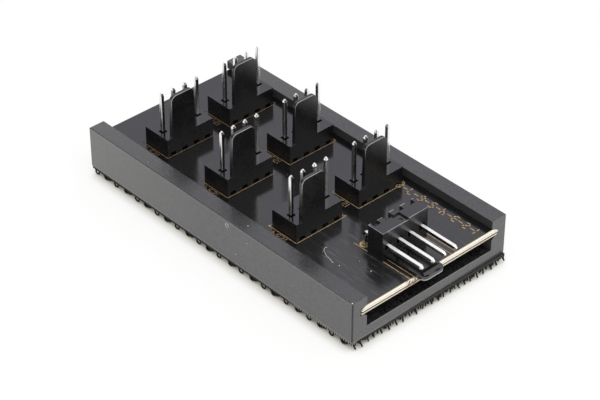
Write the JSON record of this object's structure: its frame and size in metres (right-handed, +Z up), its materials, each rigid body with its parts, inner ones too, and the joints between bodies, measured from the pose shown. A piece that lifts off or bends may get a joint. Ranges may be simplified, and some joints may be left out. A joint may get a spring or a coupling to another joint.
{
  "type": "fan splitter",
  "caption": "Fan splitter: a circuit board with upright fan headers and a right-angle input header, slid into a moulded channel on hook tape.",
  "frame": {"origin": "under the middle of the whole part, on the plane of the hooks' feet that it stands on", "axes": "+X along the board towards the input header, +Y across it, +Z up along the upright pins"},
  "size_m": [0.0674, 0.0346, 0.0194],
  "materials": {
    "tray_plastic": "satin black",
    "board_laminate": "gloss black",
    "header_plastic": "satin black",
    "pin_metal": "bright tin plate",
    "solder_metal": "dull tin",
    "adhesive": "matte",
    "hook_plastic": "satin black"
  },
  "bodies": {
    "root": {"tray": "tray_plastic", "circuit_board": "board_laminate", "input_header_housing": "header_plastic", "input_solder": "solder_metal", "tape_adhesive": "adhesive", "hook_tape": "hook_plastic", "input_pin_1": "pin_metal", "input_pin_2": "pin_metal", "input_pin_3": "pin_metal", "input_pin_4": "pin_metal", "header_1_housing": "header_plastic", "header_1_solder": "solder_metal", "header_1_pin_1": "pin_metal", "header_1_pin_2": "pin_metal", "header_1_pin_3": "pin_metal", "header_1_pin_4": "pin_metal", "header_2_housing": "header_plastic", "header_2_solder": "solder_metal", "header_2_pin_1": "pin_metal", "header_2_pin_2": "pin_metal", "header_2_pin_3": "pin_metal", "header_2_pin_4": "pin_metal", "header_3_housing": "header_plastic", "header_3_solder": "solder_metal", "header_3_pin_1": "pin_metal", "header_3_pin_2": "pin_metal", "header_3_pin_3": "pin_metal", "header_3_pin_4": "pin_metal", "header_4_housing": "header_plastic", "header_4_solder": "solder_metal", "header_4_pin_1": "pin_metal", "header_4_pin_2": "pin_metal", "header_4_pin_3": "pin_metal", "header_4_pin_4": "pin_metal", "header_5_housing": "header_plastic", "header_5_solder": "solder_metal", "header_5_pin_1": "pin_metal", "header_5_pin_2": "pin_metal", "header_5_pin_3": "pin_metal", "header_5_pin_4": "pin_metal", "header_6_housing": "header_plastic", "header_6_solder": "solder_metal", "header_6_pin_1": "pin_metal", "header_6_pin_2": "pin_metal", "header_6_pin_3": "pin_metal", "header_6_pin_4": "pin_metal"}
  },
  "joints": []
}
